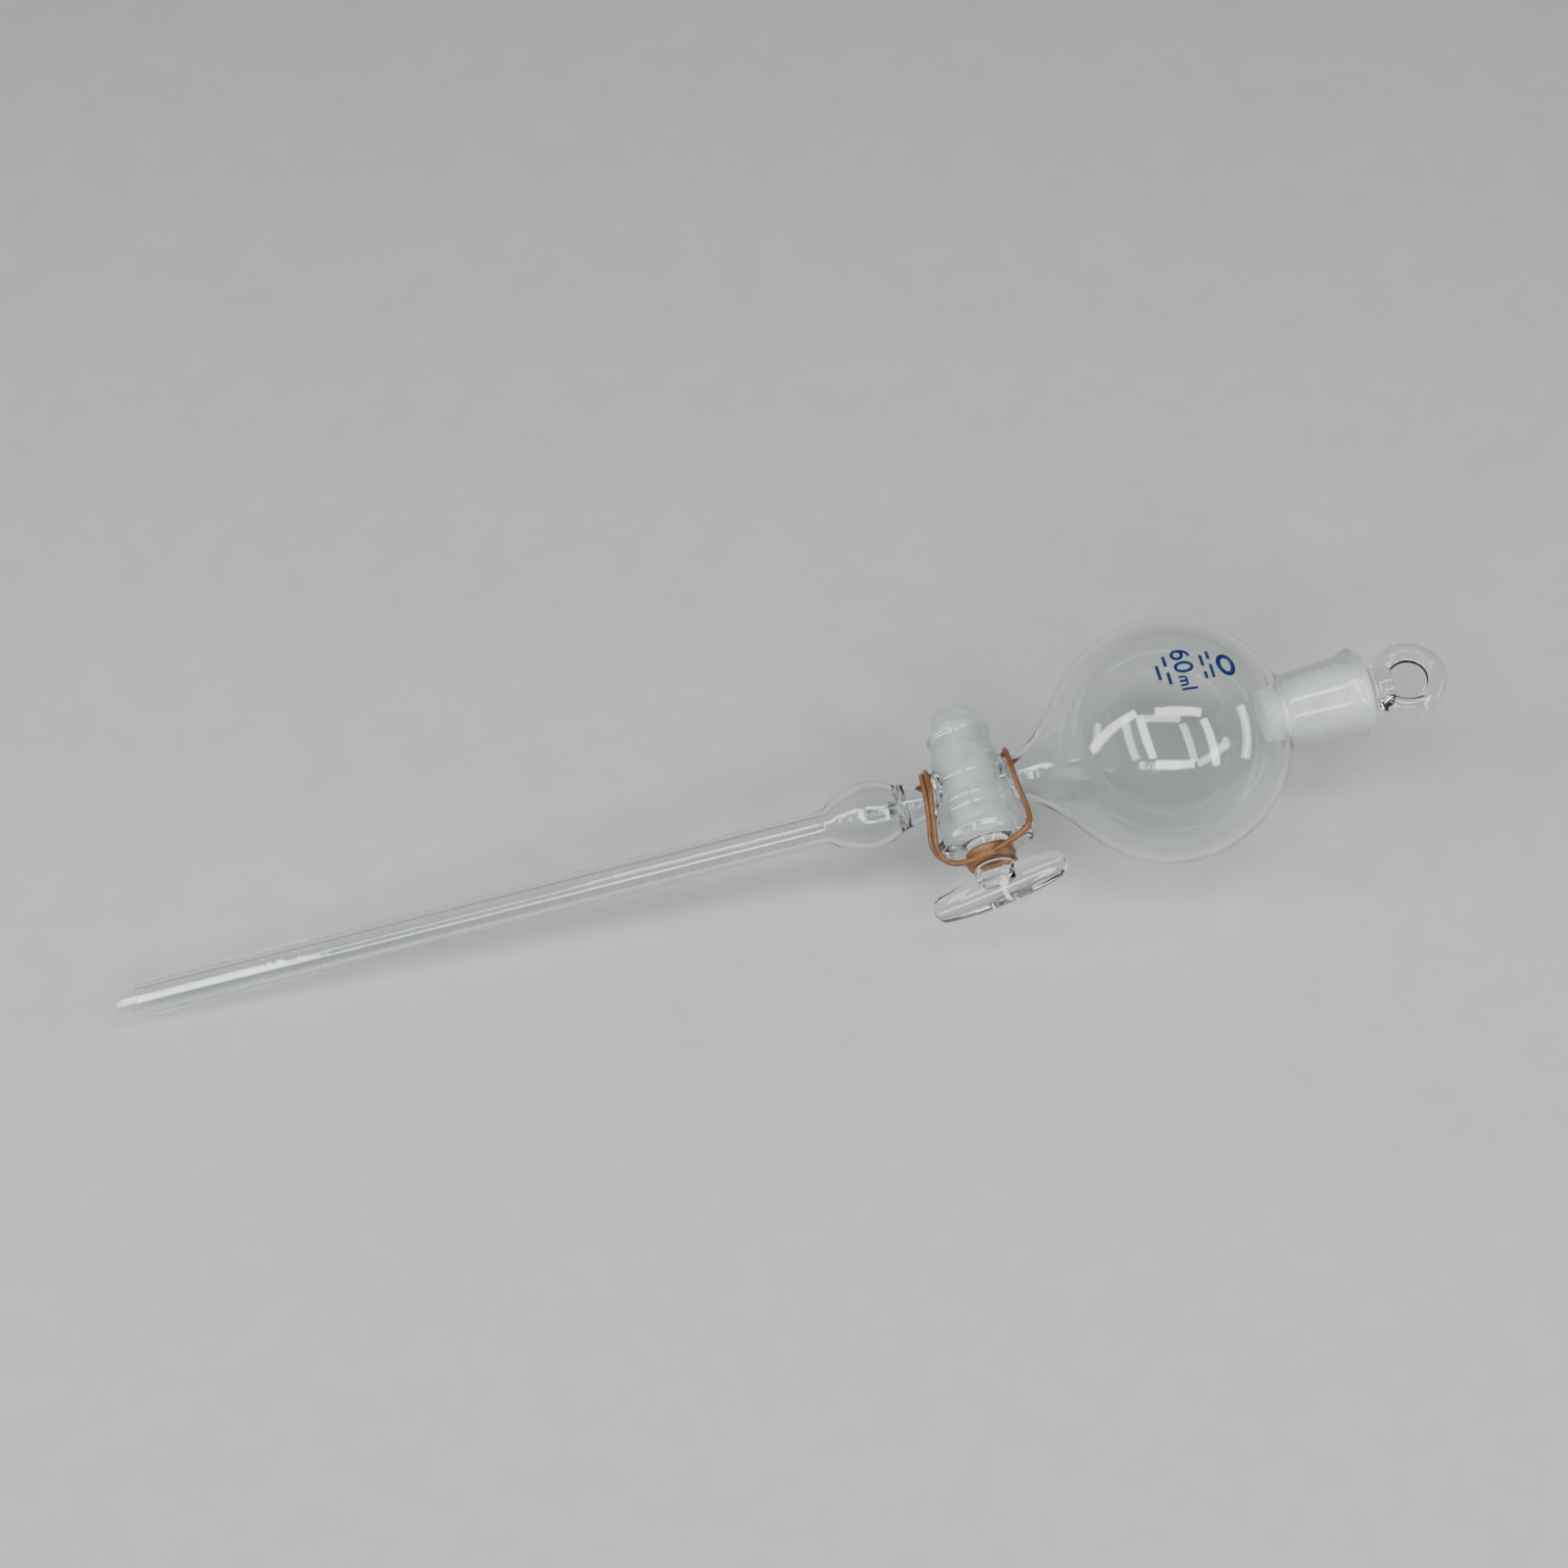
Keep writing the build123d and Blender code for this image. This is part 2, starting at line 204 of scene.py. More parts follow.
def smooth_path(
    knots: np.ndarray,
    step: float,
    start: Optional[Sequence[float]] = None,
    end: Optional[Sequence[float]] = None,
) -> np.ndarray:
    """Pass a cubic Hermite curve through knots.

    Args:
        knots: rows of coordinates.
        step: distance between the points of the result.
        start: direction at the first knot.
        end: direction at the last knot.

    Returns:
        Rows of coordinates along the curve, both ends included.
    """
    spans = np.linalg.norm(np.diff(knots, axis=0), axis=1)
    times = np.concatenate([[0.0], np.cumsum(spans)])
    slopes = np.empty_like(knots)
    slopes[1:-1] = (knots[2:] - knots[:-2]) / (times[2:] - times[:-2])[:, None]
    for row, given, flat in ((0, start, knots[1] - knots[0]), (-1, end, knots[-1] - knots[-2])):
        way = np.array(flat if given is None else given, float)
        slopes[row] = way / np.linalg.norm(way)
    found = [knots[0]]
    for k, span in enumerate(spans):
        count = max(1, int(math.ceil(span / step)))
        for t in np.arange(1, count + 1) / count:
            found.append(
                (2 * t**3 - 3 * t**2 + 1) * knots[k]
                + (t**3 - 2 * t**2 + t) * span * slopes[k]
                + (3 * t**2 - 2 * t**3) * knots[k + 1]
                + (t**3 - t**2) * span * slopes[k + 1]
            )
    return np.array(found)


def new_piece(name: str, points: np.ndarray, faces: list[tuple[int, ...]]) -> bpy.types.Object:
    """Make a mesh object whose faces all look outwards.

    Args:
        name: name of the object and its mesh.
        points: rows of x, y, z in metres.
        faces: rows of vertex numbers.

    Returns:
        The new object, linked to the scene.
    """
    mesh = bpy.data.meshes.new(name)
    mesh.from_pydata(points.tolist(), [], faces)
    shape = bmesh.new()
    shape.from_mesh(mesh)
    bmesh.ops.recalc_face_normals(shape, faces=shape.faces)
    shape.to_mesh(mesh)
    shape.free()
    piece = bpy.data.objects.new(name, mesh)
    bpy.context.scene.collection.objects.link(piece)
    return piece


def skin(rings: int, sides: int) -> list[tuple[int, ...]]:
    """List the faces of a closed stack of rings with a point at both ends.

    Args:
        rings: number of rings.
        sides: number of points in each ring.

    Returns:
        Rows of vertex numbers; the first point is 0 and the last one follows the rings.
    """
    faces: list[tuple[int, ...]] = []
    last = 1 + rings * sides
    for k in range(sides):
        n = (k + 1) % sides
        faces.append((0, 1 + k, 1 + n))
        faces.append((last, last - sides + n, last - sides + k))
        for ring in range(rings - 1):
            low = 1 + ring * sides
            faces.append((low + k, low + sides + k, low + sides + n, low + n))
    return faces


Warp = Callable[[np.ndarray, np.ndarray, np.ndarray], np.ndarray]


def turned(
    name: str, profile: Profile, datum: Datum, segments: int = 144, warp: Optional[Warp] = None
) -> bpy.types.Object:
    """Turn a half section into a closed form.

    Args:
        name: name of the object.
        profile: the section, which starts and ends on the axis.
        datum: frame whose z is the axis.
        segments: number of sides round the axis.
        warp: gives new radii from heights, radii and angles.

    Returns:
        The new object.
    """
    section = profile.array()
    angles = np.arange(segments) * (2 * math.pi / segments)
    heights = np.repeat(section[1:-1, :1], segments, axis=1)
    radii = np.repeat(section[1:-1, 1:], segments, axis=1)
    turns = np.broadcast_to(angles, radii.shape)
    if warp is not None:
        radii = warp(heights, radii, turns)
    rings = np.stack([radii * np.cos(turns), radii * np.sin(turns), heights], axis=2)
    ends = [[[0, 0, section[0, 0]]], rings.reshape(-1, 3), [[0, 0, section[-1, 0]]]]
    faces = skin(len(section) - 2, segments)
    return new_piece(name, datum.place(np.concatenate(ends)), faces)


def combine(base: bpy.types.Object, tool: bpy.types.Object, cut: Cut) -> None:
    """Combine two closed forms and use up the second.

    Args:
        base: the form that is changed.
        tool: the form that is joined to it or removed from it.
        cut: which of the two.
    """
    step = base.modifiers.new("combine", "BOOLEAN")
    step.operation = cut.value
    step.solver = "MANIFOLD"
    step.object = tool
    graph = bpy.context.evaluated_depsgraph_get()
    mesh = bpy.data.meshes.new_from_object(base.evaluated_get(graph))
    base.modifiers.clear()
    base.data = mesh
    bpy.data.objects.remove(tool)


def slice_off(piece: bpy.types.Object, point: Vector, normal: Vector) -> None:
    """Cut a closed form with a plane and cap it.

    Args:
        piece: the form that is changed.
        point: a point of the plane, in metres.
        normal: direction of the side that goes away.
    """
    shape = bmesh.new()
    shape.from_mesh(piece.data)
    everything = list(shape.verts) + list(shape.edges) + list(shape.faces)
    bmesh.ops.bisect_plane(
        shape, geom=everything, plane_co=point, plane_no=normal, clear_outer=True
    )
    rim = [edge for edge in shape.edges if edge.is_boundary]
    bmesh.ops.holes_fill(shape, edges=rim, sides=0)
    shape.to_mesh(piece.data)
    shape.free()


def shade(piece: bpy.types.Object, crease: float = 32.0) -> None:
    """Shade a mesh smooth, apart from edges sharper than an angle.

    Args:
        piece: the object that is changed.
        crease: smallest angle that stays sharp, in degrees.
    """
    shape = bmesh.new()
    shape.from_mesh(piece.data)
    limit = math.radians(crease)
    for face in shape.faces:
        face.smooth = True
    for edge in shape.edges:
        edge.smooth = len(edge.link_faces) == 2 and edge.calc_face_angle(0.0) < limit
    shape.to_mesh(piece.data)
    shape.free()


def tube(
    name: str,
    route: np.ndarray,
    width: float,
    depth: float,
    datum: Datum,
    facing: Sequence[float],
    sides: int = 14,
) -> bpy.types.Object:
    """Sweep a rounded strip along a route.

    Args:
        name: name of the object.
        route: rows of local coordinates in millimetres.
        width: size of the strip across its route.
        depth: thickness of the strip.
        datum: frame of the route.
        facing: direction that the strip's thickness points in at its beginning.
        sides: number of points round the strip.

    Returns:
        The new object, closed at both ends.
    """
    steps = np.gradient(route, axis=0)
    ways = steps / np.linalg.norm(steps, axis=1)[:, None]
    up = np.array(facing, float)
    angles = np.arange(sides) * (2 * math.pi / sides)
    across = np.sign(np.cos(angles)) * np.abs(np.cos(angles)) ** 0.6 * width / 2
    along = np.sign(np.sin(angles)) * np.abs(np.sin(angles)) ** 0.6 * depth / 2
    rings = []
    for place, way in zip(route, ways):
        up = up - way * (up @ way)
        up = up / np.linalg.norm(up)
        side = np.cross(way, up)
        rings.append(place + across[:, None] * side + along[:, None] * up)
    points = np.concatenate([[route[0]], *rings, [route[-1]]])
    return new_piece(name, datum.place(points), skin(len(rings), sides))


def merge(name: str, pieces: list[bpy.types.Object]) -> bpy.types.Object:
    """Put several closed forms into one object, without combining them.

    Args:
        name: name of the result.
        pieces: the objects, which are used up.

    Returns:
        The new object.
    """
    shape = bmesh.new()
    for piece in pieces:
        shape.from_mesh(piece.data)
        bpy.data.objects.remove(piece)
    mesh = bpy.data.meshes.new(name)
    shape.to_mesh(mesh)
    shape.free()
    result = bpy.data.objects.new(name, mesh)
    bpy.context.scene.collection.objects.link(result)
    return result


def clothe(piece: bpy.types.Object, *finishes: bpy.types.Material, crease: float = 32.0) -> None:
    """Give a mesh its finishes in order, and its smooth shading."""
    piece.data.materials.clear()
    for finish in finishes:
        piece.data.materials.append(finish)
    shade(piece, crease)


# ----- finishes


class Signal:
    """A value in a material, so that Python arithmetic adds Math nodes."""

    def __init__(self, sheet: "NodeSheet", socket: bpy.types.NodeSocket) -> None:
        """Wrap an output socket."""
        self.sheet = sheet
        self.socket = socket

    def _math(self, operation: str, first: "Value", second: "Value") -> "Signal":
        """Add one Math node."""
        return self.sheet.signal("ShaderNodeMath", {"operation": operation}, {0: first, 1: second})

    def __add__(self, other: "Value") -> "Signal":
        """Add."""
        return self._math("ADD", self, other)

    def __radd__(self, other: "Value") -> "Signal":
        """Add, reflected."""
        return self._math("ADD", other, self)

    def __sub__(self, other: "Value") -> "Signal":
        """Subtract."""
        return self._math("SUBTRACT", self, other)

    def __rsub__(self, other: "Value") -> "Signal":
        """Subtract, reflected."""
        return self._math("SUBTRACT", other, self)

    def __mul__(self, other: "Value") -> "Signal":
        """Multiply."""
        return self._math("MULTIPLY", self, other)

    def __rmul__(self, other: "Value") -> "Signal":
        """Multiply, reflected."""
        return self._math("MULTIPLY", other, self)


Value = Union[Signal, float, tuple]


class NodeSheet:
    """A material's nodes."""

    def __init__(self, name: str) -> None:
        """Make an empty material with its output."""
        self.material = bpy.data.materials.new(name)
        self.material.use_nodes = True
        self.nodes = self.material.node_tree.nodes
        self.nodes.clear()
        self.output = self.nodes.new("ShaderNodeOutputMaterial")

    def add(self, kind: str, settings: dict, inputs: dict) -> bpy.types.Node:
        """Add a node.

        Args:
            kind: the node's type.
            settings: its properties, set first.
            inputs: a value or a signal for each socket, by name or number.

        Returns:
            The new node.
        """
        node = self.nodes.new(kind)
        for key, value in settings.items():
            setattr(node, key, value)
        for key, value in inputs.items():
            if isinstance(value, Signal):
                self.material.node_tree.links.new(value.socket, node.inputs[key])
            else:
                node.inputs[key].default_value = value
        return node

    def signal(
        self, kind: str, settings: dict, inputs: dict, output: Union[int, str] = 0
    ) -> Signal:
        """Add a node and give one of its outputs."""
        return Signal(self, self.add(kind, settings, inputs).outputs[output])

    def place(self) -> Signal:
        """Give the position on the piece, in metres."""
        return self.signal("ShaderNodeTexCoord", {}, {}, "Object")

    def noise(self, scale: float, detail: float = 3.0, rough: float = 0.5) -> Signal:
        """Add cloudy noise, with so many features in a metre."""
        inputs = {"Vector": self.place(), "Scale": scale, "Detail": detail, "Roughness": rough}
        return self.signal("ShaderNodeTexNoise", {}, inputs)

    def bands(self, axis: Vector, scale: float, detail: float = 2.0) -> Signal:
        """Add noise that changes only along an axis."""
        way = {0: self.place(), 1: tuple(axis)}
        along = self.signal("ShaderNodeVectorMath", {"operation": "DOT_PRODUCT"}, way, "Value")
        inputs = {"W": along, "Scale": scale, "Detail": detail}
        return self.signal("ShaderNodeTexNoise", {"noise_dimensions": "1D"}, inputs)

    def remap(self, value: Signal, low: float, high: float) -> Signal:
        """Turn low to high into 0 to 1, smoothly and clamped."""
        settings = {"interpolation_type": "SMOOTHSTEP"}
        inputs = {"Value": value, "From Min": low, "From Max": high}
        return self.signal("ShaderNodeMapRange", settings, inputs)

    def blend(self, factor: Value, first: Value, second: Value) -> Signal:
        """Mix two colours."""
        inputs = {0: factor, 6: first, 7: second}
        return self.signal("ShaderNodeMix", {"data_type": "RGBA"}, inputs, 2)

    def bump(self, height: Signal, distance: float, strength: float) -> Signal:
        """Turn a height into a normal."""
        inputs = {"Height": height, "Distance": distance, "Strength": strength}
        return self.signal("ShaderNodeBump", {}, inputs)

    def principled(self, inputs: dict) -> Signal:
        """Add the main shader."""
        return self.signal("ShaderNodeBsdfPrincipled", {}, inputs)

    def finish(self, shader: Signal) -> bpy.types.Material:
        """Send a shader to the output and give the material."""
        self.material.node_tree.links.new(shader.socket, self.output.inputs["Surface"])
        return self.material

    def finish_glass(self, shader: Signal, shadow: Spot) -> bpy.types.Material:
        """Finish a glass that lets lamps through.

        Args:
            shader: the glass itself.
            shadow: share of the light that passes each face, by colour.

        Returns:
            The material.
        """
        passed = self.signal("ShaderNodeBsdfTransparent", {}, {"Color": (*shadow, 1.0)})
        is_shadow = self.signal("ShaderNodeLightPath", {}, {}, "Is Shadow Ray")
        mixed = self.signal("ShaderNodeMixShader", {}, {0: is_shadow, 1: shader, 2: passed})
        return self.finish(mixed)


@dataclass(frozen=True)
class ClearGlass:
    """Clear borosilicate: slow waves in the wall and light smudges from handling."""

    name: str = "clear_glass"
    tint: Spot = (0.93, 0.955, 0.95)
    index: float = 1.47
    polish: float = 0.004
    smudge: float = 0.05
    wave: float = 0.08

    def material(self, axis: Vector) -> bpy.types.Material:
        """Make the material.

        Args:
            axis: direction in which the tube was drawn.

        Returns:
            The material.
        """
        sheet = NodeSheet(self.name)
        prints = sheet.remap(sheet.noise(70.0, 5.0, 0.6), 0.55, 0.75)
        dust = sheet.remap(sheet.noise(900.0, 2.0), 0.72, 0.8)
        roughness = self.polish + prints * self.smudge + dust * self.smudge
        waves = sheet.noise(38.0, 1.5, 0.4) + 0.12 * sheet.bands(axis, 260.0)
        shader = sheet.principled(
            {
                "Base Color": (*self.tint, 1.0),
                "IOR": self.index,
                "Transmission Weight": 1.0,
                "Roughness": roughness,
                "Normal": sheet.bump(waves, 0.0016, self.wave),
            }
        )
        return sheet.finish_glass(shader, (0.52, 0.53, 0.53))


@dataclass(frozen=True)
class GroundGlass:
    """Ground joint: an even frost with fine turning marks and a few polished patches."""

    name: str = "ground_glass"
    pale: Spot = (0.80, 0.82, 0.82)
    worn: Spot = (0.68, 0.70, 0.70)
    index: float = 1.47
    frost: float = 0.46
    through: float = 0.75

    def material(self, axis: Vector) -> bpy.types.Material:
        """Make the material.

        Args:
            axis: axis that the cone was ground about.

        Returns:
            The material.
        """
        sheet = NodeSheet(self.name)
        rings = sheet.bands(axis, 1400.0, 4.0)
        cloud = sheet.noise(240.0, 4.0, 0.6)
        grain = sheet.noise(5200.0, 2.0, 0.7)
        wear = sheet.remap(cloud + 0.35 * rings, 0.6, 0.85)
        shader = sheet.principled(
            {
                "Base Color": sheet.blend(wear, (*self.pale, 1.0), (*self.worn, 1.0)),
                "IOR": self.index,
                "Transmission Weight": self.through,
                "Roughness": self.frost - 0.18 * wear + 0.1 * rings,
                "Normal": sheet.bump(grain + 0.5 * rings, 0.0001, 0.25),
            }
        )
        return sheet.finish_glass(shader, (0.6, 0.6, 0.6))


KEY_FROST = GroundGlass(
    "ground_glass_key", pale=(0.50, 0.53, 0.54), worn=(0.38, 0.41, 0.42), frost=0.42, through=0.5
)
WEB_FROST = GroundGlass(
    "ground_glass_web", pale=(0.78, 0.80, 0.80), worn=(0.62, 0.64, 0.64), frost=0.5, through=0.2
)


@dataclass(frozen=True)
class Latex:
    """Amber latex, a little dusty, with darker brown patches at random."""

    name: str = "amber_latex"
    amber: Spot = (0.165, 0.068, 0.018)
    brown: Spot = (0.092, 0.032, 0.009)
    dust: Spot = (0.29, 0.185, 0.11)

    def material(self) -> bpy.types.Material:
        """Make the material."""
        sheet = NodeSheet(self.name)
        stain = sheet.remap(sheet.noise(330.0, 4.0, 0.6), 0.4, 0.68)
        powder = sheet.remap(sheet.noise(1900.0, 3.0, 0.7), 0.56, 0.72)
        colour = sheet.blend(stain, (*self.amber, 1.0), (*self.brown, 1.0))
        colour = sheet.blend(powder * 0.35, colour, (*self.dust, 1.0))
        grain = sheet.noise(4200.0, 3.0, 0.6) + 0.6 * sheet.noise(800.0, 2.0)
        shader = sheet.principled(
            {
                "Base Color": colour,
                "Roughness": 0.36 + 0.26 * powder,
                "IOR": 1.52,
                "Subsurface Weight": 0.15,
                "Subsurface Radius": (0.8, 0.32, 0.1),
                "Subsurface Scale": 0.0012,
                "Normal": sheet.bump(grain, 0.0001, 0.5),
            }
        )
        return sheet.finish(shader)


@dataclass(frozen=True)
class Enamel:
    """Fired blue print with a few pinholes and rubbed edges."""

    name: str = "blue_enamel"
    ink: Spot = (0.006, 0.016, 0.085)
    faded: Spot = (0.02, 0.045, 0.16)

    def material(self) -> bpy.types.Material:
        """Make the material."""
        sheet = NodeSheet(self.name)
        rubbed = sheet.remap(sheet.noise(700.0, 4.0, 0.6), 0.5, 0.75)
        holes = sheet.remap(sheet.noise(3600.0, 2.0), 0.66, 0.7)
        shader = sheet.principled(
            {
                "Base Color": sheet.blend(rubbed, (*self.ink, 1.0), (*self.faded, 1.0)),
                "Roughness": 0.28 + 0.2 * rubbed,
                "Alpha": 1 - holes * 0.8,
                "Normal": sheet.bump(sheet.noise(2600.0, 2.0), 0.00004, 0.5),
            }
        )
        return sheet.finish(shader)


@dataclass(frozen=True)
class TableTop:
    """Plain pale table, matt, with the faintest mottle."""

    name: str = "pale_table"
    light: Spot = (0.37, 0.373, 0.37)
    dark: Spot = (0.35, 0.353, 0.35)

    def material(self) -> bpy.types.Material:
        """Make the material."""
        sheet = NodeSheet(self.name)
        mottle = sheet.remap(sheet.noise(90.0, 6.0, 0.6), 0.3, 0.7)
        shader = sheet.principled(
            {
                "Base Color": sheet.blend(mottle, (*self.light, 1.0), (*self.dark, 1.0)),
                "Roughness": 0.82 + 0.1 * mottle,
                "Normal": sheet.bump(sheet.noise(2200.0, 3.0), 0.0001, 0.2),
            }
        )
        return sheet.finish(shader)


# ----- the funnel's glass


@dataclass(frozen=True)
class Stopcock:
    """Outside and bore of the stopcock's barrel."""

    small_end: float = -14.6
    waist_low: Point = (-5.2, 7.95)
    waist_high: Point = (5.2, 9.15)
    mouth: float = 14.3
    cone_radius: float = 5.6
    cone_taper: float = 0.05
    clearance: float = 0.03
    ground_top: float = 12.3
    ground_skin: float = 0.06
    ripple: float = 0.11

    def outside(self) -> Profile:
        """Draw the barrel's outside, from the small-end bead to the rolled rim."""
        rise = (self.waist_high[0] - self.waist_low[0], self.waist_high[1] - self.waist_low[1])
        outline = Profile(self.small_end, 0).line(self.small_end, 5.4, 3)
        bead = ((self.small_end + 0.35, 6.1), (-12.9, 6.95), (-10.3, 6.72), (-7.7, 7.2))
        outline.curve(*bead, self.waist_low, start=(0, 1), end=rise)
        outline.line(*self.waist_high, steps=40)
        outline.curve((8.2, 9.45), (10.4, 10.2), start=rise, end=(1, 0.35))
        outline.curve((12.6, 10.7), (13.9, 10.1), (self.mouth, 9.0), start=(1, 0.35), end=(0, -1))
        return outline.line(self.mouth, 0)

    def radius(self, height: np.ndarray) -> np.ndarray:
        """Give the barrel's outside radius at heights along it."""
        outline = self.outside().array()[3:-1]
        return np.interp(height, outline[:, 0], outline[:, 1])

    def rippled(self, heights: np.ndarray, radii: np.ndarray, _: np.ndarray) -> np.ndarray:
        """Add the rings that the gatherer's tool left round the barrel."""
        rings = np.sin(heights * 2.3) + 0.3 * np.sin(heights * 3.3 + 1.2)
        inside = np.clip((radii - 6.2) / 0.6, 0, 1)
        return radii + self.ripple * inside * rings

    def bore(self) -> Profile:
        """Draw the ground bore and the mouth that opens above it."""
        low, high = self.small_end - 1.4, 12.2
        gap = self.cone_radius + self.clearance
        bore = Profile(low, 0).line(low, gap + self.cone_taper * low)
        bore.line(high, gap + self.cone_taper * high, 14)
        bore.curve((13.4, 7.0), (self.mouth, 7.9), (15.6, 9.9), start=(1, 0.2), end=(1, 1.6))
        return bore.line(15.6, 0)

    def is_ground(self, height: float, distance: float) -> bool:
        """Tell whether a point lies on the ground bore."""
        wall = self.cone_radius + self.clearance + self.cone_taper * height
        return height < self.ground_top and abs(distance - wall) < self.ground_skin


@dataclass(frozen=True)
class FunnelBody:
    """The blown and sealed glass, from the socket's mouth to the stem's tip."""

    cock: Stopcock
    bulb: float = 27.0
    bulb_bore: float = 25.5
    neck_cut: float = 24.6
    mouth: float = 44.6
    mouth_radius: float = 7.28
    joint_taper: float = 0.05
    ground_top: float = 43.6
    ground_skin: float = 0.08
    flare: float = -21.5
    inlet: float = 4.85
    inlet_bore: float = 3.2
    outlet: float = 4.1
    outlet_bore: float = 2.7
    port: float = 1.4
    seal: float = -59.5
    stem: float = 3.75
    stem_bore: float = 2.5
    long_tip: float = -236.1
    short_tip: float = -229.2
    tip_turn: float = 20.0
    fillet: float = 1.5

    def outside(self) -> Profile:
        """Draw the outside, from the mouth down to past the tip."""
        root = (self.flare / self.bulb, math.sqrt(1 - (self.flare / self.bulb) ** 2))
        neck = math.sqrt(self.bulb**2 - self.neck_cut**2)
        cock_low, cock_high = -CROSSING - 10.0, -CROSSING
        outline = Profile(self.mouth, 0).line(self.mouth, 8.2, 4)
        bead = ((44.35, 8.85), (42.5, 9.98), (40.7, 9.5), (39.6, 9.04))
        outline.curve(*bead, start=(0, 1), end=(-1, -0.09))
        outline.line(26.9, 8.02, 16)
        outline.curve((25.7, 8.75), (self.neck_cut, neck), start=(-1, -0.05), end=(-1, 2.2))
        outline.arc(self.bulb, self.flare)
        cone = ((-24.9, 12.0), (-28.06, 8.75), (-30.0, 7.25), (-33.0, 5.45), (-35.6, self.inlet))
        outline.curve(*cone, start=(-root[1], root[0]), end=(-1, 0))
        outline.line(cock_high, self.inlet, 50)
        outline.line(cock_high - 0.3, self.outlet).line(cock_low, self.outlet, 46)
        outline.curve((self.seal, 4.95), start=(-1, 0), end=(-1, 0.1))
        drip = ((-63.4, 6.75), (-68.0, 7.45), (-74.6, 5.5), (-77.6, self.stem))
        outline.curve(*drip, start=(-1, 0.1), end=(-1, -0.1))
        outline.line(self.long_tip - 4, self.stem, 60)
        return outline.line(self.long_tip - 4, 0)

    def filleted(self, heights: np.ndarray, radii: np.ndarray, turns: np.ndarray) -> np.ndarray:
        """Flare the arms where they run into the barrel.

        Args:
            heights: heights along the funnel.
            radii: radii of the plain outline.
            turns: angles from the handle's side.

        Returns:
            The new radii.
        """
        offset = np.abs(heights + CROSSING)
        plain = np.where(offset < 15, radii, 0)
        grown = plain.copy()
        for _ in range(5):
            wall = self.cock.radius(grown * np.cos(turns)) ** 2 - (grown * np.sin(turns)) ** 2
            gap = np.clip(offset - np.sqrt(np.clip(wall, 0, None)), 0, self.fillet)
            grown = plain + self.fillet - np.sqrt(self.fillet**2 - (self.fillet - gap) ** 2)
        return np.where(offset < 15, np.maximum(grown, radii), radii)

    def joint_radius(self, height: float) -> float:
        """Give the ground socket's radius at a height."""
        return self.mouth_radius - self.joint_taper * (self.mouth - height)

    def cavity(self) -> Profile:
        """Draw everything hollow, with the drip tip standing in its bulb."""
        scale = self.bulb_bore / self.bulb
        root = (self.flare / self.bulb, math.sqrt(1 - (self.flare / self.bulb) ** 2))
        joint_end = 24.71
        hollow = Profile(self.mouth + 2, 0).line(self.mouth + 2, self.joint_radius(self.mouth + 2))
        hollow.line(joint_end, math.sqrt(self.bulb_bore**2 - joint_end**2), 24)
        hollow.arc(self.bulb_bore, self.flare * scale)
        cone = ((-23.8, 11.0), (-27.1, 7.6), (-30.0, 5.7), (-33.0, 3.8), (-35.2, self.inlet_bore))
        hollow.curve(*cone, start=(-root[1], root[0]), end=(-1, 0))
        hollow.curve((-36.1, 2.4), (-37.0, self.port), start=(-1, 0), end=(-1, 0))
        hollow.line(-51.4, self.port, 4)
        hollow.curve((-52.2, 2.2), (-53.2, self.outlet_bore), start=(-1, 0), end=(-1, 0))
        hollow.line(-54.1, self.outlet_bore, 3)
        funnel_in = ((-58.7, 3.75), (-59.6, 3.3), (-60.7, 1.5), (-62.0, 0.9))
        hollow.curve(*funnel_in, start=(-1, 0), end=(-1, 0))
        hollow.line(-67.2, 0.88, 8)
        hollow.curve((-67.5, 1.14), (-67.2, 1.42), start=(-1, 0.2), end=(1, 0.04), step=0.12)
        hollow.line(-63.4, 1.66, 6)
        seal_back = ((-61.9, 2.3), (-61.1, 3.3), (-61.4, 4.35), (-63.4, 5.5))
        hollow.curve(*seal_back, start=(1, 0.05), step=0.2)
        hollow.curve((-68.0, 6.25), (-74.2, 4.2), (-77.6, self.stem_bore), end=(-1, -0.1))
        hollow.line(self.long_tip - 6, self.stem_bore, 60)
        return hollow.line(self.long_tip - 6, 0)

    def build(self, main: Datum, valve: Datum) -> bpy.types.Object:
        """Build the body as one closed form.

        Args:
            main: the funnel's frame.
            valve: the stopcock's frame.

        Returns:
            The new object.
        """
        body = turned("glass_body", self.outside(), main, 144, self.filleted)
        long_side = Matrix.Rotation(math.radians(-self.tip_turn), 3, main.z) @ main.x
        rise = self.short_tip - self.long_tip
        tip = main.spot(0, 0, (self.long_tip + self.short_tip) / 2)
        slice_off(body, tip, (-2 * self.stem * main.z - rise * long_side).normalized())
        barrel = turned("barrel", self.cock.outside(), valve, 144, self.cock.rippled)
        combine(body, barrel, Cut.JOIN)
        combine(body, turned("bore", self.cock.bore(), valve, 120), Cut.REMOVE)
        combine(body, turned("cavity", self.cavity(), main, 144), Cut.REMOVE)
        return body

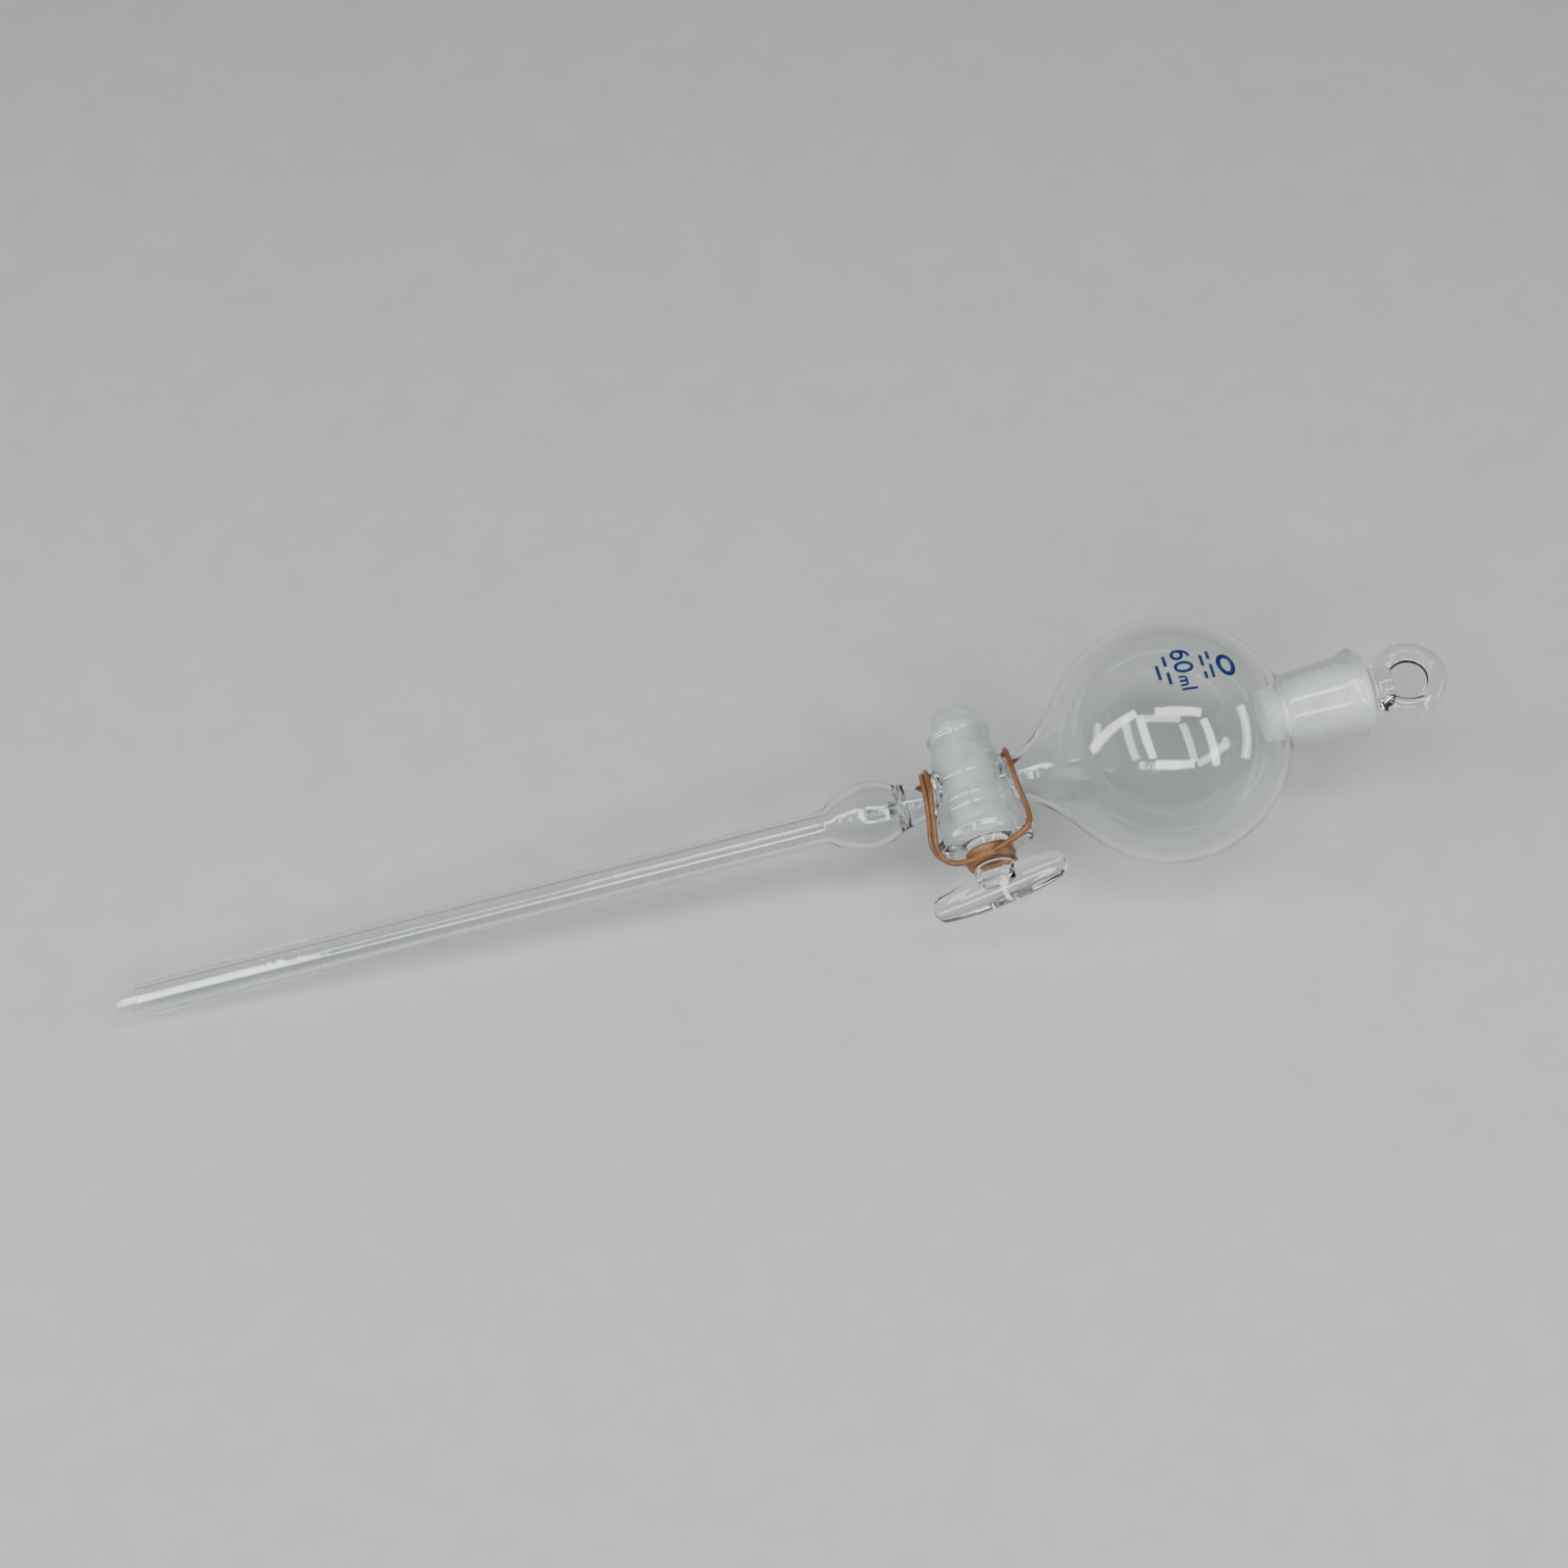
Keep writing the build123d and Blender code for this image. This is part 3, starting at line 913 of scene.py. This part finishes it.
    def dress(
        self,
        body: bpy.types.Object,
        main: Datum,
        valve: Datum,
        clear: bpy.types.Material,
        ground: bpy.types.Material,
        key_ground: bpy.types.Material,
    ) -> None:
        """Give the body its finishes, ground inside the socket and the barrel.

        Args:
            body: the funnel's glass.
            main: the funnel's frame.
            valve: the stopcock's frame.
            clear: finish of the blown glass.
            ground: finish of the ground socket and of the tip's bevel.
            key_ground: finish of the barrel's ground bore.
        """
        body.data.materials.clear()
        for finish in (clear, ground, key_ground):
            body.data.materials.append(finish)
        for face in body.data.polygons:
            spot = (face.center - main.origin) / MM
            height = spot.dot(main.z)
            distance = (spot - height * main.z).length
            near_wall = abs(distance - self.joint_radius(height)) < self.ground_skin
            in_socket = self.neck_cut < height < self.ground_top and near_wall
            spot = (face.center - valve.origin) / MM
            rise = spot.dot(valve.z)
            in_barrel = self.cock.is_ground(rise, (spot - rise * valve.z).length)
            on_tip = height < self.short_tip + 0.5 and abs(face.normal.dot(main.z)) > 0.3
            face.material_index = 2 if in_barrel else int(in_socket or on_tip)
        shade(body)
        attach(body, Body.FUNNEL.value)
        upper = ("bulb", "neck_socket", "inlet_arm", "stopcock_barrel")
        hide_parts(*upper, "outlet_arm", "drip_tip", "drip_bulb", "stem_tube")


# ----- stopper and key


@dataclass(frozen=True)
class StopperHead:
    """Clear shank and dished disc, above the stopper's ground plug."""

    base: float = 44.62
    centre: float = 53.9
    radius: float = 8.7

    def build(self, main: Datum) -> bpy.types.Object:
        """Build the head.

        Args:
            main: the funnel's frame.

        Returns:
            The new object.
        """
        neck = Profile(self.base, 0).line(self.base, 5.6, 2)
        neck.curve((45.3, 5.2), (46.8, 4.3), (48.6, 4.2), start=(1, 0), end=(1, 0.1))
        neck.line(50.2, 4.3).line(50.2, 0)
        head = turned("stopper_head", neck, main, 96)
        rim = [(1.75, 4.9), (2.5, 5.55), (2.7, 6.35), (2.3, 7.6), (1.2, 8.5), (0.0, self.radius)]
        back = [(-height, radius) for height, radius in rim[-2::-1]]
        disc = Profile(1.0, 0).line(1.0, 4.2, 6)
        disc.curve(*rim, *back, (-1.0, 4.2), start=(0, 1), end=(0, -1)).line(-1.0, 0, 6)
        side = main.x.cross(main.z)
        plate = Datum(main.spot(0, 0, self.centre), main.z, side.cross(main.z), side)
        combine(head, turned("disc", disc, plate, 120), Cut.JOIN)
        return head

    def dress(self, head: bpy.types.Object, clear: bpy.types.Material) -> None:
        """Give the head its finish and hang it on the stopper."""
        clothe(head, clear)
        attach(head, Body.STOPPER.value)
        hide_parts("stopper_disc", "stopper_shank")


@dataclass(frozen=True)
class KeyHead:
    """Clear shank and boat-shaped handle, above the key's ground plug."""

    base: float = 11.83
    groove: float = 4.2
    shank: float = 4.7
    centre: float = 23.8
    length: float = 32.0
    height: float = 7.6
    tip_height: float = 4.6
    thickness: float = 5.6
    tip_thickness: float = 4.0
    rounding: float = 2.1
    web_offset: float = 1.4
    web_half: float = 0.36
    turn: float = 21.0

    def frame(self, valve: Datum) -> Datum:
        """Give the handle's own frame, with x along it and y away from the barrel."""
        along = Matrix.Rotation(math.radians(self.turn), 3, valve.z) @ valve.x
        return Datum(valve.spot(0, 0, self.centre), along, valve.z, along.cross(valve.z))

    def boat(self, valve: Datum) -> bpy.types.Object:
        """Build the handle's bar.

        Args:
            valve: the stopcock's frame.

        Returns:
            The new object.
        """
        rings, sides = 72, 56
        turns = np.arange(sides) * (2 * math.pi / sides)
        across = np.sign(np.sin(turns)) * np.abs(np.sin(turns)) ** 0.5
        upward = np.sign(np.cos(turns)) * np.abs(np.cos(turns)) ** 0.5
        half = self.length / 2
        rows = []
        for share in np.cos(np.linspace(0, math.pi, rings + 2)[1:-1]):
            belly = 1 - abs(share) ** 2.2
            tall = self.tip_height + (self.height - self.tip_height) * belly
            deep = self.tip_thickness + (self.thickness - self.tip_thickness) * belly
            close = max(0.0, (abs(share) * half - (half - self.rounding)) / self.rounding)
            cap = math.sqrt(max(1e-4, 1 - close**2))
            ring = (np.full(sides, share * half), upward * tall / 2 * cap, across * deep / 2 * cap)
            rows.append(np.stack(ring, axis=1))
        points = np.concatenate([[[half, 0, 0]], *rows, [[-half, 0, 0]]])
        return new_piece("boat", self.frame(valve).place(points), skin(rings, sides))

    def build(self, valve: Datum) -> bpy.types.Object:
        """Build the shank and the handle as one form."""
        neck = Profile(self.base, 0).line(self.base, 5.7, 2)
        neck.curve((13.2, 4.75), (14.9, self.groove), start=(1, -0.2), end=(1, 0))
        neck.line(18.7, self.groove, 4)
        neck.curve((19.6, self.shank), start=(1, 0.1), end=(1, 0.2))
        neck.line(22.6, self.shank, 3).line(22.6, 0)
        head = turned("key_head", neck, valve, 96)
        combine(head, self.boat(valve), Cut.JOIN)
        return head

    def web(self, valve: Datum) -> bpy.types.Object:
        """Build the cloudy web that was pressed into the middle of the handle."""
        place = self.frame(valve)
        section = Profile(0.4, 0).line(self.web_half, 1.6, 6)
        section.curve((0.0, 2.05), start=(-0.1, 1), end=(-1, 0))
        section.curve((-self.web_half, 1.6), start=(-1, 0), end=(-0.1, -1)).line(-0.4, 0, 6)
        sheet = Datum(place.spot(self.web_offset, 0.2, 0), place.z, place.y, place.x * -1)
        web = turned("web", section, sheet, 64)
        shape = web.data
        for vertex in shape.vertices:
            local = (vertex.co - sheet.origin) / MM
            rise = local.dot(sheet.y)
            bend = 0.35 * math.sin(rise * 1.9) + 0.16 * math.sin(rise * 4.3 + 0.6)
            vertex.co += MM * (rise * 0.62 * sheet.y + bend * sheet.z)
        web.name = "key_web"
        return web

    def dress(
        self,
        head: bpy.types.Object,
        web: bpy.types.Object,
        clear: bpy.types.Material,
        ground: bpy.types.Material,
    ) -> None:
        """Give the head and its web their finishes and hang them on the key."""
        for piece, finish, slot in ((head, clear, Slot.CLEAR), (web, ground, Slot.GROUND)):
            clothe(piece, finish)
            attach(piece, Body.KEY.value)
        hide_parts("key_shank", "key_handle")


# ----- band and mark


@dataclass(frozen=True)
class LatexBand:
    """Band that holds the key in: turns on the shank, then strands round both arms."""

    width: float = 1.45
    depth: float = 1.1
    coil: float = 4.85
    coil_low: float = 15.5
    coil_high: float = 18.1
    turns: float = 2.9

    def loop_route(self) -> np.ndarray:
        """Lay the first loop: down the stem's side, behind the barrel, up the bulb's side."""
        return np.array(
            [
                (-0.6, 4.9, 17.6), (-4.6, 3.1, 17.5), (-8.6, 3.1, 17.1), (-10.5, 3.9, 15.6),
                (-11.1, 4.8, 12.9), (-10.6, 5.2, 8.8), (-9.9, 5.5, 4.0), (-9.4, 5.7, 0.6),
                (-9.2, 5.0, -2.6), (-9.1, 2.2, -5.6), (-9.0, -1.2, -6.8), (-7.8, -4.6, -7.1),
                (-4.6, -7.4, -7.2), (0.0, -8.6, -7.2), (4.6, -7.4, -7.2), (7.8, -4.4, -7.1),
                (9.0, -0.6, -6.9), (9.0, 2.8, -6.0), (8.9, 5.6, -3.2), (9.0, 6.5, 0.4),
                (9.3, 6.6, 5.0), (9.7, 6.9, 9.4), (9.7, 7.3, 12.6), (8.5, 7.5, 14.9),
                (5.2, 6.8, 16.4), (0.8, 5.6, 17.5),
            ]
        )

    def outer_route(self) -> np.ndarray:
        """Lay the second strand on the stem's side."""
        return np.array(
            [
                (-2.6, -4.2, 15.9), (-5.8, -2.0, 15.7), (-9.2, 1.0, 15.7), (-11.3, 2.6, 14.2),
                (-12.0, 3.3, 11.6), (-11.2, 4.2, 6.4), (-10.6, 4.9, 1.4), (-10.4, 4.6, -2.4),
                (-10.2, 2.0, -5.2), (-9.9, -1.6, -5.9), (-8.8, -5.0, -5.8), (-5.4, -8.4, -5.8),
                (-1.0, -9.9, -5.9),
            ]
        )

    def coil_route(self) -> np.ndarray:
        """Lay the turns on the shank, a little uneven."""
        share = np.linspace(0, 1, 120)
        turn = share * self.turns * 2 * math.pi + 0.4
        reach = self.coil + 0.18 * np.sin(turn * 0.37 + 1.0)
        rise = self.coil_low + (self.coil_high - self.coil_low) * share
        rise = rise + 0.18 * np.sin(turn * 1.3)
        return np.stack([reach * np.cos(turn), reach * np.sin(turn), rise], axis=1)

    def build(self, valve: Datum) -> bpy.types.Object:
        """Build the band.

        Args:
            valve: the stopcock's frame.

        Returns:
            The new object.
        """
        plan = (
            (self.loop_route(), 0.95, (0, 0, 1)),
            (self.outer_route(), 0.78, (0, 0, 1)),
            (self.coil_route(), 1.0, (1, 0, 0)),
        )
        strands = []
        for route, share, facing in plan:
            size = (self.width * share, self.depth * share)
            strands.append(tube("strand", smooth_path(route, 0.5), *size, valve, facing))
        return merge("latex_band", strands)

    def dress(self, band: bpy.types.Object, latex: bpy.types.Material) -> None:
        """Give the band its finish and hang it on the funnel."""
        clothe(band, latex, crease=50.0)
        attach(band, Body.FUNNEL.value)
        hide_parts("rubber_band")


@dataclass(frozen=True)
class PrintedMark:
    """Generic blue print on the bulb: a ring, short bars and the capacity."""

    surface: float = 27.0
    lift: float = 0.03
    thickness: float = 0.035
    turn: float = 9.0
    stroke: float = 0.75

    def strokes(self) -> list[tuple[np.ndarray, float]]:
        """List the strokes.

        Returns:
            Rows of (across, along) in millimetres, each with its width.
        """
        sweep = np.linspace(0, 2 * math.pi, 41)
        ring = np.stack([2.3 * np.cos(sweep), 14.2 + 1.75 * np.sin(sweep)], axis=1)
        zero = np.stack([0.1 + 1.15 * np.cos(sweep), 4.4 + 1.8 * np.sin(sweep)], axis=1)
        bowl = np.stack([-3.3 + 1.1 * np.cos(sweep), 3.7 + 1.1 * np.sin(sweep)], axis=1)
        tail = np.array([(-4.4, 3.8), (-4.2, 5.0), (-3.5, 5.95), (-2.6, 6.2)])
        hump = np.array([(0, 0), (0.0, 1.0), (0.35, 1.6), (0.75, 1.6), (1.0, 1.1), (1.0, 0.0)])
        lines = [(ring, 1.1), (zero, 0.75), (bowl, 0.75), (smooth_path(tail, 0.2), 0.75)]
        for shift in (2.5, 3.5):
            lines.append((smooth_path(hump, 0.2) + (shift, 2.6), 0.55))
        lines.append((np.array([(5.5, 2.6), (5.5, 6.1)]), 0.6))
        for along, left, right in (
            (10.4, -3.6, -1.4), (10.4, 0.0, 3.4), (8.7, -2.6, 0.4), (8.7, 1.8, 3.6),
            (0.7, -3.6, -0.8), (0.7, 0.8, 3.8), (-1.2, -1.6, 2.2),
        ):
            lines.append((np.array([(left, along), (right, along)]), self.stroke))
        return lines

    def wrap(self, spots: np.ndarray, radius: float, main: Datum) -> np.ndarray:
        """Lay flat places on the bulb.

        Args:
            spots: rows of (across, along) in millimetres.
            radius: distance from the bulb's centre.
            main: the funnel's frame.

        Returns:
            Rows of x, y, z in metres.
        """
        lift = spots[:, 1] / self.surface
        turn = spots[:, 0] / self.surface / np.cos(lift) - math.radians(self.turn)
        side = np.cos(lift) * np.cos(turn)
        local = np.stack([np.cos(lift) * np.sin(turn), -side, np.sin(lift)], axis=1)
        return main.place(radius * local)

    def ribbon(self, line: np.ndarray, width: float, main: Datum) -> bpy.types.Object:
        """Build one stroke as a thin raised strip."""
        line = smooth_path(line, 0.25)
        ways = np.gradient(line, axis=0)
        sides = np.stack([-ways[:, 1], ways[:, 0]], axis=1)
        sides *= width / 2 / np.linalg.norm(sides, axis=1)[:, None]
        low, high = self.surface + self.lift, self.surface + self.lift + self.thickness
        loops = [
            self.wrap(line + side, radius, main)
            for side, radius in ((sides, low), (sides, high), (-sides, high), (-sides, low))
        ]
        points = np.stack(loops, axis=1).reshape(-1, 3)
        faces: list[tuple[int, ...]] = [(3, 2, 1, 0)]
        count = len(line)
        for k in range(count - 1):
            for side in range(4):
                n = (side + 1) % 4
                faces.append((4 * k + side, 4 * k + n, 4 * k + 4 + n, 4 * k + 4 + side))
        faces.append(tuple(4 * (count - 1) + side for side in range(4)))
        return new_piece("stroke", points, faces)

    def build(self, main: Datum) -> bpy.types.Object:
        """Build the whole mark."""
        return merge("bulb_mark", [self.ribbon(line, wide, main) for line, wide in self.strokes()])

    def dress(self, mark: bpy.types.Object, enamel: bpy.types.Material) -> None:
        """Give the mark its finish and hang it on the funnel."""
        mark.data.materials.clear()
        mark.data.materials.append(enamel)
        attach(mark, Body.FUNNEL.value)


# ----- studio


@dataclass(frozen=True)
class Strip:
    """A strip lamp: its direction and roll in degrees, its size in lamp distances."""

    name: str
    right: float
    up: float
    roll: float
    width: float
    height: float
    radiance: float


@dataclass(frozen=True)
class Studio:
    """Camera, lamps, table and surroundings."""

    azimuth: float = -13.02
    elevation: float = 60.78
    distance: float = 0.9
    lens: float = 94.5
    aim: Spot = (3.077, 12.002, 20.0)
    lamp_distance: float = 0.7
    surround: float = 0.06
    strips: tuple[Strip, ...] = (
        Strip("strip_top", 4.0, 26.0, 0.0, 0.74, 0.14, 16.0),
        Strip("strip_bottom", 1.0, -23.0, 0.0, 0.62, 0.13, 16.0),
        Strip("strip_left", -26.0, 2.0, 18.0, 0.13, 0.74, 16.0),
        Strip("strip_right", 35.0, -2.0, 18.0, 0.14, 0.78, 16.0),
        Strip("strip_far_left", -60.0, 8.0, -66.0, 0.14, 1.0, 14.0),
        Strip("strip_far_right", 72.0, 6.0, 20.0, 0.12, 0.7, 12.0),
    )

    def basis(self) -> tuple[Vector, Vector, Vector]:
        """Give the camera's right, up and backward directions."""
        turn, lift = math.radians(self.azimuth), math.radians(self.elevation)
        flat = math.cos(lift)
        back = Vector((math.sin(turn) * flat, -math.cos(turn) * flat, math.sin(lift)))
        right = Vector((math.cos(turn), math.sin(turn), 0))
        return right, back.cross(right), back

    def place_camera(self) -> None:
        """Make the camera."""
        right, up, back = self.basis()
        camera = bpy.data.objects.new("camera", bpy.data.cameras.new("camera"))
        camera.data.lens = self.lens
        camera.data.clip_start = 0.01
        aim = Vector(self.aim) * MM
        turn = Matrix((right, up, back)).transposed().to_4x4()
        camera.matrix_world = Matrix.Translation(aim + back * self.distance) @ turn
        bpy.context.scene.collection.objects.link(camera)
        bpy.context.scene.camera = camera

    def place_lamps(self, centre: Vector) -> None:
        """Make the strip lamps round a centre.

        Args:
            centre: the point that the lamps look at.
        """
        right, up, back = self.basis()
        for strip in self.strips:
            turn, lift = math.radians(strip.right), math.radians(strip.up)
            way = back * math.cos(turn) * math.cos(lift)
            way = (way + right * math.sin(turn) * math.cos(lift) + up * math.sin(lift)).normalized()
            lamp = bpy.data.lights.new(strip.name, "AREA")
            lamp.shape = "RECTANGLE"
            lamp.size = strip.width * self.lamp_distance
            lamp.size_y = strip.height * self.lamp_distance
            lamp.energy = strip.radiance * math.pi * lamp.size * lamp.size_y
            side = (right - way * right.dot(way)).normalized()
            side = Matrix.Rotation(math.radians(strip.roll), 3, way) @ side
            placed = bpy.data.objects.new(strip.name, lamp)
            turned_to = Matrix((side, way.cross(side), way)).transposed().to_4x4()
            placed.matrix_world = Matrix.Translation(centre + way * self.lamp_distance) @ turned_to
            placed.visible_camera = False
            bpy.context.scene.collection.objects.link(placed)

    def place_table(self, finish: bpy.types.Material) -> None:
        """Make the table top and the surroundings.

        Args:
            finish: the table's material.
        """
        reach, cells = 4.0, 8
        edge = np.linspace(-reach, reach, cells + 1)
        points = np.array([(x, y, 0.0) for y in edge for x in edge])
        faces = [
            (row + k, row + k + 1, row + k + cells + 2, row + k + cells + 1)
            for row in range(0, cells * (cells + 1), cells + 1)
            for k in range(cells)
        ]
        table = new_piece("table_top", points, faces)
        table.data.materials.append(finish)
        world = bpy.data.worlds.new("studio")
        world.use_nodes = True
        sky = world.node_tree.nodes["Background"]
        sky.inputs["Color"].default_value = (1.0, 1.0, 1.0, 1.0)
        sky.inputs["Strength"].default_value = self.surround
        bpy.context.scene.world = world


# ----- the whole object


def dress_node(name: str, finish: bpy.types.Material) -> None:
    """Give a kept CAD node its finish.

    Args:
        name: the node's name.
        finish: the material.
    """
    node = frame["nodes"][name]
    for holder in node.material_slots:
        holder.material = finish
    LOG.info("%s keeps its CAD shape", name)


def report(piece: bpy.types.Object) -> None:
    """Log one finished piece."""
    LOG.info("%s: %d faces", piece.name, len(piece.data.polygons))


def main() -> None:
    """Build and dress every piece, then light and frame the funnel."""
    logging.basicConfig(level=logging.INFO, format="%(name)s: %(message)s")
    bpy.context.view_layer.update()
    funnel, valve = read_datums()
    clear = ClearGlass().material(funnel.z)
    ground = GroundGlass().material(funnel.z)
    key_ground = KEY_FROST.material(valve.z)

    body = FunnelBody(Stopcock())
    glass = body.build(funnel, valve)
    body.dress(glass, funnel, valve, clear, ground, key_ground)
    report(glass)

    stopper = StopperHead()
    stopper_head = stopper.build(funnel)
    stopper.dress(stopper_head, clear)
    report(stopper_head)

    key = KeyHead()
    key_head, web = key.build(valve), key.web(valve)
    key.dress(key_head, web, clear, WEB_FROST.material(valve.z))
    report(key_head)
    report(web)

    dress_node("stopper_plug", ground)
    dress_node("key_plug", key_ground)

    band = LatexBand()
    strands = band.build(valve)
    band.dress(strands, Latex().material())
    report(strands)

    mark = PrintedMark()
    printed = mark.build(funnel)
    mark.dress(printed, Enamel().material())
    report(printed)

    studio = Studio()
    studio.place_camera()
    studio.place_lamps(funnel.origin)
    studio.place_table(TableTop().material())
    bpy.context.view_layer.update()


if __name__ == "__main__":
    main()
